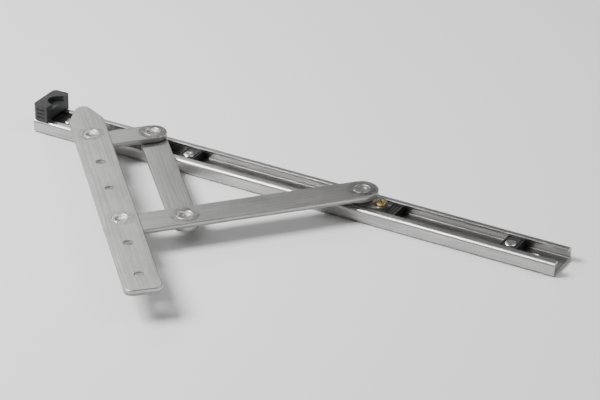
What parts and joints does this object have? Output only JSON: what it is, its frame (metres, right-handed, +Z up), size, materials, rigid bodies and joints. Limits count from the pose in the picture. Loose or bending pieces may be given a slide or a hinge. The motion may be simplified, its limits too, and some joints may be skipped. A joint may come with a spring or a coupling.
{
  "type": "friction stay hinge",
  "caption": "Side-hung window friction stay: a lipped track, a sliding shoe, crossing arms and a bar that carries the sash.",
  "frame": {"origin": "middle of the track's mounting face, on the track's centre line", "axes": "+X along the track away from the hinge corner, +Z up from the mounting face through the arms; the sash opens towards -Y"},
  "size_m": [0.3, 0.1534, 0.017],
  "materials": {
    "track_steel": "rolled stainless steel, drawn grain along the track",
    "arm_steel": "stamped stainless steel strip, satin",
    "rivet_steel": "turned and riveted stainless steel",
    "slider_zinc": "die-cast zinc, satin",
    "brass": "machined brass",
    "black_nylon": "moulded black nylon",
    "acetal": "white acetal washer"
  },
  "bodies": {
    "track": {"track": "track_steel", "end_cap": "black_nylon", "end_cap_rivet": "rivet_steel", "main_pivot_bush": "rivet_steel", "main_pivot_rivet": "rivet_steel", "main_pivot_washer": "acetal", "opening_stop": "black_nylon", "closing_stop": "black_nylon", "stop_rivets": "rivet_steel"},
    "support_arm": {"support_arm": "arm_steel", "cross_pivot_rivet": "rivet_steel", "cross_pivot_washer": "acetal"},
    "short_arm": {"short_arm": "arm_steel", "vent_near_rivet": "rivet_steel", "vent_near_washer": "acetal"},
    "long_arm": {"long_arm": "arm_steel", "vent_far_rivet": "rivet_steel", "vent_far_washer": "acetal"},
    "vent_bar": {"vent_bar": "arm_steel"},
    "slider": {"slider_block": "slider_zinc", "slider_front_glide": "black_nylon", "slider_rear_glide": "black_nylon", "slider_rivet": "rivet_steel", "slider_washer": "acetal", "friction_screw": "brass", "friction_pad": "brass"}
  },
  "joints": [
    {"name": "sash_opening", "type": "hinge", "parent": "track", "child": "support_arm", "pos_m": [-0.082, 0, 0.00925], "axis": [0, 0, -1], "range_deg": [-47, 28]},
    {"name": "short_arm_turn", "type": "hinge", "parent": "track", "child": "short_arm", "pos_m": [-0.082, 0, 0.01225], "axis": [0, 0, 1], "range_deg": [-47, 28]},
    {"name": "cross_pivot_turn", "type": "hinge", "parent": "support_arm", "child": "long_arm", "pos_m": [-0.02062, -0.06582, 0.01225], "axis": [0, 0, 1], "range_deg": [-94, 56]},
    {"name": "vent_bar_turn", "type": "hinge", "parent": "long_arm", "child": "vent_bar", "pos_m": [-0.04244, -0.08923, 0.0155], "axis": [0, 0, -1], "range_deg": [-94, 56]},
    {"name": "slider_turn", "type": "hinge", "parent": "long_arm", "child": "slider", "pos_m": [0.04076, 0, 0.01225], "axis": [0, 0, -1], "range_deg": [-47, 28]}
  ],
  "couplings": [
    {"joint": "short_arm_turn", "follows": "sash_opening", "ratio": 1},
    {"joint": "cross_pivot_turn", "follows": "sash_opening", "ratio": 2},
    {"joint": "vent_bar_turn", "follows": "sash_opening", "ratio": 2},
    {"joint": "slider_turn", "follows": "sash_opening", "ratio": 1}
  ]
}
